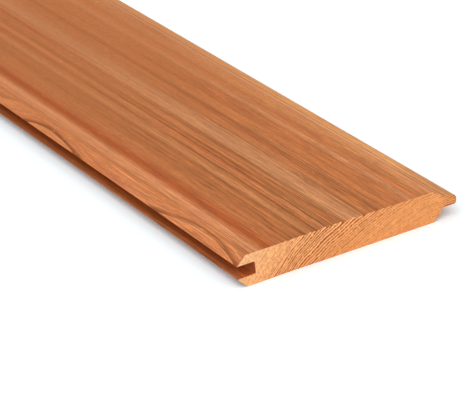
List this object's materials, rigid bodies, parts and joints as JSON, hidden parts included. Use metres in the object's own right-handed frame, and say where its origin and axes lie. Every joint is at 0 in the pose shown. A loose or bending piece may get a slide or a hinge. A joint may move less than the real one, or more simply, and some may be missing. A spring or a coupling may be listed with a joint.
{
  "type": "tongue and groove siding board",
  "caption": "Length of cedar siding board with a tongue along one edge, a groove along the other and bevelled V-joints on face and back.",
  "frame": {"origin": "centre of the board's back face, on the surface that it lies on: the bottom centre of its bounding box", "axes": "+X along the grain, +Y across the board from the grooved edge to the tongue, +Z from the back to the weather face"},
  "size_m": [1.8288, 0.1366, 0.0178],
  "materials": {
    "cedar": "planed smooth, unfinished"
  },
  "bodies": {
    "root": {"siding_board": "cedar"}
  },
  "joints": []
}
